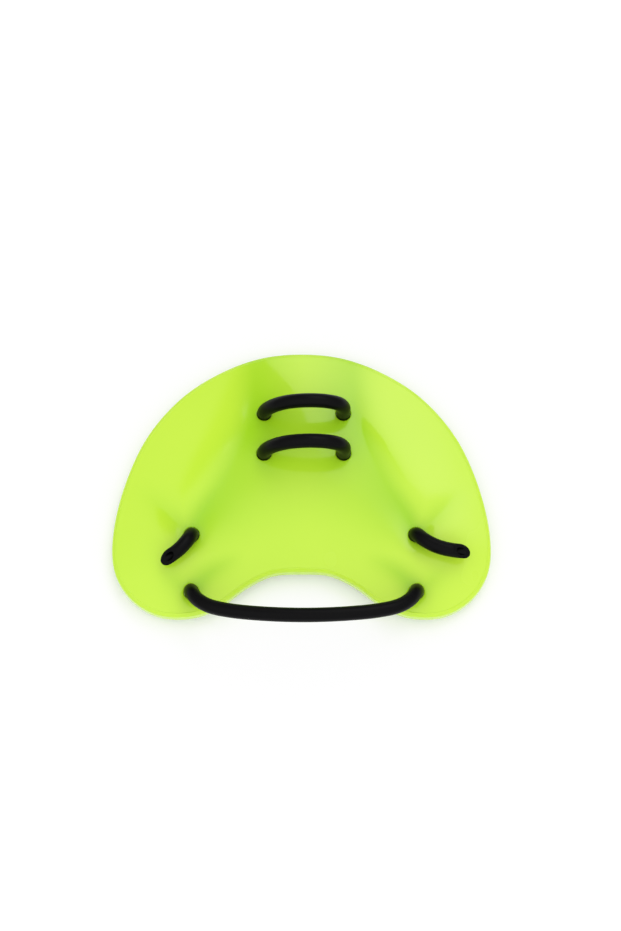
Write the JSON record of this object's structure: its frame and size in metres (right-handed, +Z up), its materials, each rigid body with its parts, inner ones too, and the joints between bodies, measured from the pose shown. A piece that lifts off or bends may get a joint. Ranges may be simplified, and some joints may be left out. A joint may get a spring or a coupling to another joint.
{
  "type": "swim hand paddle",
  "caption": "Swim hand paddle: a domed plastic blade with a turned-down rim and a wrist notch, worn by finger loops and a wrist loop of black rubber tube.",
  "frame": {"origin": "on the surface that the paddle lies on, under the middle of the whole paddle's box", "axes": "+Z up, out of the hand side; +Y towards the fingertips; +X across the blade"},
  "size_m": [0.148, 0.1138, 0.0328],
  "materials": {
    "lime_plastic": "moulded, glossy, evenly coloured",
    "black_rubber": "smooth extruded tube with a dull sheen"
  },
  "bodies": {
    "root": {"blade": "lime_plastic", "finger_tube": "black_rubber", "wrist_tube": "black_rubber"}
  },
  "joints": []
}
